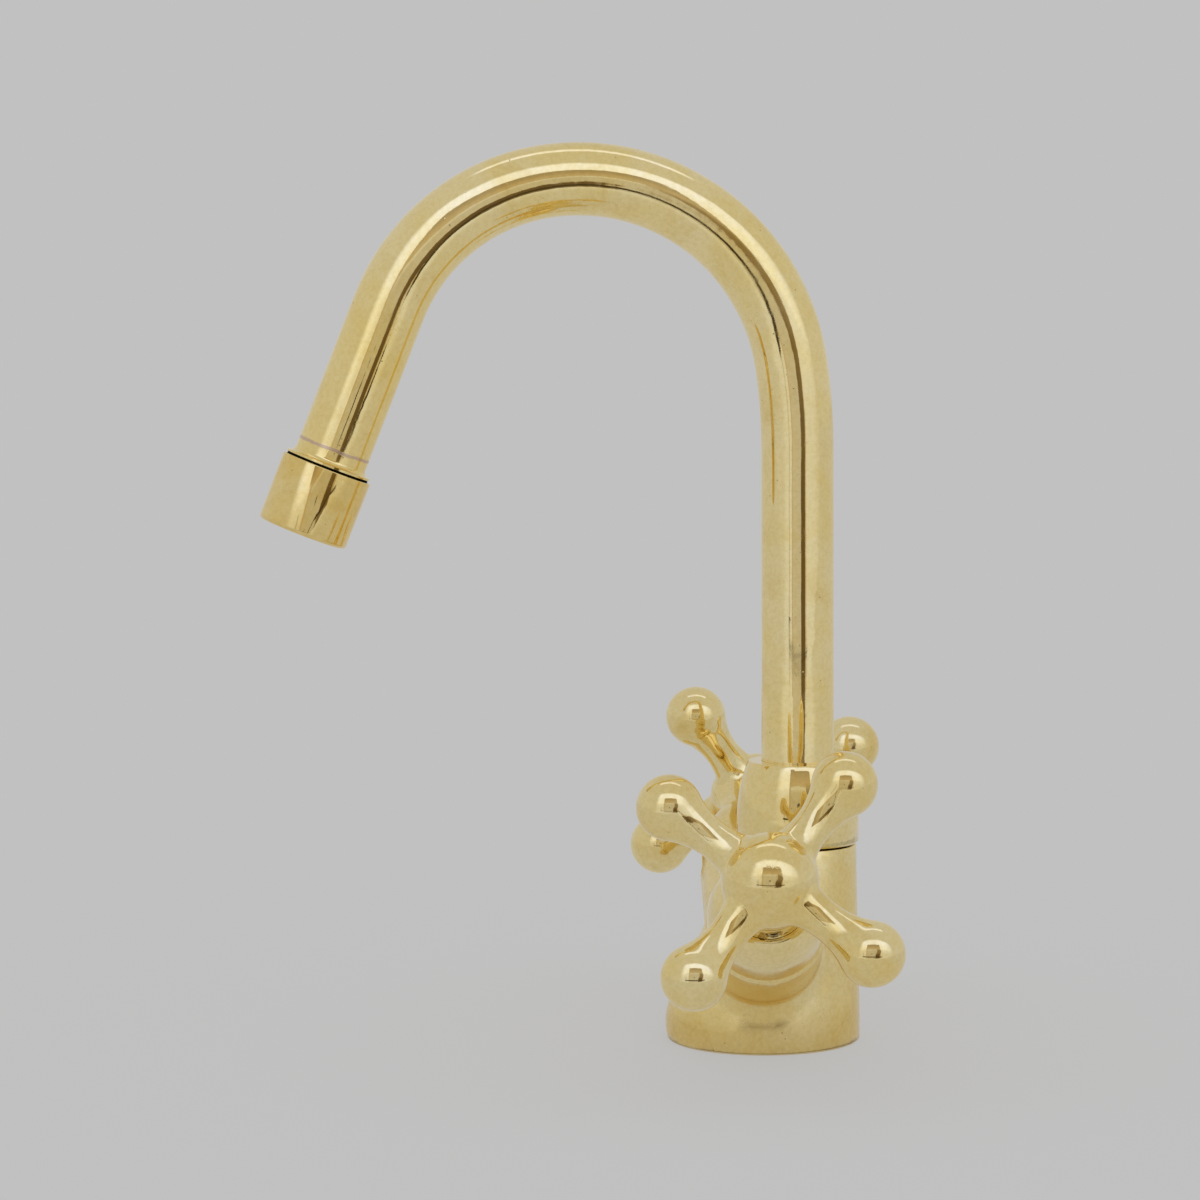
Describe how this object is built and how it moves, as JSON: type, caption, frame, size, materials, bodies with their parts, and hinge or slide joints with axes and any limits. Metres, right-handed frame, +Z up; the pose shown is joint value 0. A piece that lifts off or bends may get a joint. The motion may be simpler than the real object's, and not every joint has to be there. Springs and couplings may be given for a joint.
{
  "type": "bidet faucet",
  "caption": "Brass deck mixer with a gooseneck swivel spout and raised cross handles with ball-ended arms on a round foot.",
  "frame": {"origin": "centre of the foot's bottom face, on the surface it stands on", "axes": "+Z up; -Y towards the front, where the spout points when straight; +X towards the right-hand handle"},
  "size_m": [0.1882, 0.1624, 0.2331],
  "materials": {
    "polished_brass": "polished",
    "plain_brass": "machined",
    "black_rubber": "matt",
    "white_plastic": "satin",
    "ceramic": "lapped ceramic",
    "steel": "plain stainless"
  },
  "bodies": {
    "mixer": {"mixer_body": "polished_brass", "base_gasket": "black_rubber", "spout_collar": "polished_brass", "spout_glide_ring": "white_plastic", "right_valve_cover": "polished_brass", "right_bonnet": "plain_brass", "right_bonnet_oring": "black_rubber", "right_seat_seal": "black_rubber", "right_fixed_disc": "ceramic", "left_valve_cover": "polished_brass", "left_bonnet": "plain_brass", "left_bonnet_oring": "black_rubber", "left_seat_seal": "black_rubber", "left_fixed_disc": "ceramic"},
    "spout": {"spout_tube": "polished_brass", "spout_foot_bush": "plain_brass", "spout_oring_lower": "black_rubber", "spout_oring_upper": "black_rubber", "outlet_ferrule": "polished_brass", "aerator_housing": "polished_brass", "aerator_gasket": "black_rubber", "aerator_screen": "steel", "aerator_insert": "white_plastic"},
    "right_handle": {"right_cross_handle": "polished_brass", "right_spindle": "plain_brass", "right_moving_disc": "ceramic", "right_spindle_oring": "black_rubber", "right_spindle_clip": "steel", "right_handle_set_screw": "steel"},
    "left_handle": {"left_cross_handle": "polished_brass", "left_spindle": "plain_brass", "left_moving_disc": "ceramic", "left_spindle_oring": "black_rubber", "left_spindle_clip": "steel", "left_handle_set_screw": "steel"}
  },
  "joints": [
    {"name": "spout_swivel", "type": "hinge", "parent": "mixer", "child": "spout", "pos_m": [0, 0.009, 0.06], "axis": [0, 0, 1], "range_deg": [-77.5, 62.5]},
    {"name": "right_handle_turn", "type": "hinge", "parent": "mixer", "child": "right_handle", "pos_m": [0.05397, -0.0005, 0.04321], "axis": [0.8996, 0, 0.4368], "range_deg": [-90, 0]},
    {"name": "left_handle_turn", "type": "hinge", "parent": "mixer", "child": "left_handle", "pos_m": [-0.05397, -0.0005, 0.04321], "axis": [-0.8996, 0, 0.4368], "range_deg": [0, 90]}
  ]
}
